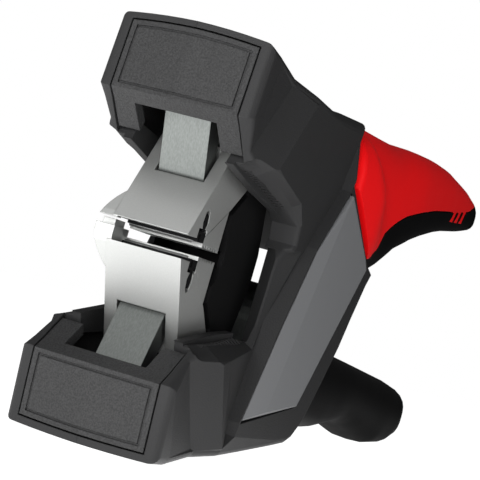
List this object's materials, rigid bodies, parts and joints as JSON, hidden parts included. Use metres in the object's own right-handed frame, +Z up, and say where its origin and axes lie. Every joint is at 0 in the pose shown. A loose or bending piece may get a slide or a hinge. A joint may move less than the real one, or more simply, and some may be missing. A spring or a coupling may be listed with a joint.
{
  "type": "automatic flat cable stripper",
  "caption": "Pistol-form self-adjusting stripper for flat cable: black C-shaped head with linked steel jaws, red and black fixed handle, one black squeeze lever.",
  "frame": {"origin": "on the surface it stands on, under the middle of the tool's outer box", "axes": "+X back from the mouth to the handle's tip, +Y across the tool, away from the mouth's open side, +Z up from the lower arm to the upper arm"},
  "size_m": [0.18, 0.0342, 0.0771],
  "materials": {
    "casing_plastic": "fine-grained black moulded plastic",
    "insert_plastic": "finely textured black plastic",
    "label_grey": "smooth mid-grey plastic",
    "handle_red": "satin red plastic",
    "soft_grip": "soft black grip",
    "lever_plastic": "half-gloss black plastic",
    "carriage_black": "matt black",
    "satin_steel": "satin blasted steel",
    "brushed_steel": "lengthwise brushed steel",
    "plain_steel": "plain turned steel"
  },
  "bodies": {
    "frame": {"frame_shell_left": "casing_plastic", "frame_shell_right": "casing_plastic", "upper_front_insert": "insert_plastic", "lower_front_insert": "insert_plastic", "label_plate_left": "label_grey", "label_plate_right": "label_grey", "handle_shell_left": "handle_red", "handle_shell_right": "handle_red", "handle_grip": "soft_grip", "frame_screw_1": "plain_steel", "frame_screw_2": "plain_steel", "handle_screw_1": "plain_steel", "handle_screw_2": "plain_steel", "lever_pivot_pin": "plain_steel", "upper_guide_rod": "plain_steel", "lower_guide_rod": "plain_steel", "upper_guide_bracket": "carriage_black", "lower_guide_bracket": "carriage_black", "return_spring": "plain_steel"},
    "lever": {"lever_core": "brushed_steel", "lever_sleeve": "lever_plastic", "crank_pin": "plain_steel"},
    "drive_link": {"drive_link": "brushed_steel"},
    "yoke": {"draw_yoke": "brushed_steel", "upper_link_pin": "plain_steel", "lower_link_pin": "plain_steel", "yoke_pin": "plain_steel"},
    "upper_link": {"upper_link": "brushed_steel"},
    "lower_link": {"lower_link": "brushed_steel"},
    "carriage": {"carriage": "carriage_black"},
    "upper_jaw": {"upper_jaw": "satin_steel", "upper_grip_plate": "satin_steel"},
    "lower_jaw": {"lower_jaw": "satin_steel", "lower_grip_plate": "satin_steel"},
    "upper_blade": {"upper_blade": "plain_steel", "upper_blade_holder": "carriage_black"},
    "lower_blade": {"lower_blade": "plain_steel", "lower_blade_holder": "carriage_black"},
    "length_stop": {"length_stop": "carriage_black"}
  },
  "joints": [
    {"name": "lever_squeeze", "type": "hinge", "parent": "frame", "child": "lever", "pos_m": [-0.026, 0, 0.0294], "axis": [0, -1, 0], "range_deg": [0, 18], "stiffness_Nm_per_rad": 0.8, "springref_deg": -22.92},
    {"name": "drive_link_turn", "type": "hinge", "parent": "lever", "child": "drive_link", "pos_m": [-0.0315, 0, 0.0149], "axis": [0, -1, 0], "range_deg": [-26, 1]},
    {"name": "yoke_draw", "type": "slide", "parent": "frame", "child": "yoke", "axis": [1, 0, 0], "range_m": [0, 0.0049]},
    {"name": "upper_link_swing", "type": "hinge", "parent": "yoke", "child": "upper_link", "pos_m": [-0.0808, 0, 0.0634], "axis": [0, 1, 0], "range_deg": [0, 7]},
    {"name": "lower_link_swing", "type": "hinge", "parent": "yoke", "child": "lower_link", "pos_m": [-0.0808, 0, 0.0114], "axis": [0, -1, 0], "range_deg": [0, 7]},
    {"name": "carriage_slide", "type": "slide", "parent": "frame", "child": "carriage", "axis": [1, 0, 0], "range_m": [0, 0.0028]},
    {"name": "upper_jaw_close", "type": "slide", "parent": "carriage", "child": "upper_jaw", "axis": [0, 0, -1], "range_m": [0, 0.00075]},
    {"name": "lower_jaw_close", "type": "slide", "parent": "carriage", "child": "lower_jaw", "axis": [0, 0, 1], "range_m": [0, 0.00075]},
    {"name": "upper_blade_cut", "type": "slide", "parent": "upper_jaw", "child": "upper_blade", "axis": [0, 0, -1], "range_m": [0, 0.00045]},
    {"name": "lower_blade_cut", "type": "slide", "parent": "lower_jaw", "child": "lower_blade", "axis": [0, 0, 1], "range_m": [0, 0.00045]},
    {"name": "length_stop_slide", "type": "slide", "parent": "carriage", "child": "length_stop", "axis": [1, 0, 0], "range_m": [-0.0025, 0.005]}
  ],
  "couplings": [
    {"joint": "drive_link_turn", "follows": "lever_squeeze", "ratio": -1.3722},
    {"joint": "yoke_draw", "follows": "lever_squeeze", "m_per_rad": 0.015279},
    {"joint": "upper_link_swing", "follows": "lever_squeeze", "ratio": 0.3611},
    {"joint": "lower_link_swing", "follows": "lever_squeeze", "ratio": 0.3611},
    {"joint": "carriage_slide", "follows": "lever_squeeze", "m_per_rad": 0.008594},
    {"joint": "upper_jaw_close", "follows": "lever_squeeze", "m_per_rad": 0.002228},
    {"joint": "lower_jaw_close", "follows": "lever_squeeze", "m_per_rad": 0.002228},
    {"joint": "upper_blade_cut", "follows": "lever_squeeze", "m_per_rad": 0.001273},
    {"joint": "lower_blade_cut", "follows": "lever_squeeze", "m_per_rad": 0.001273}
  ]
}
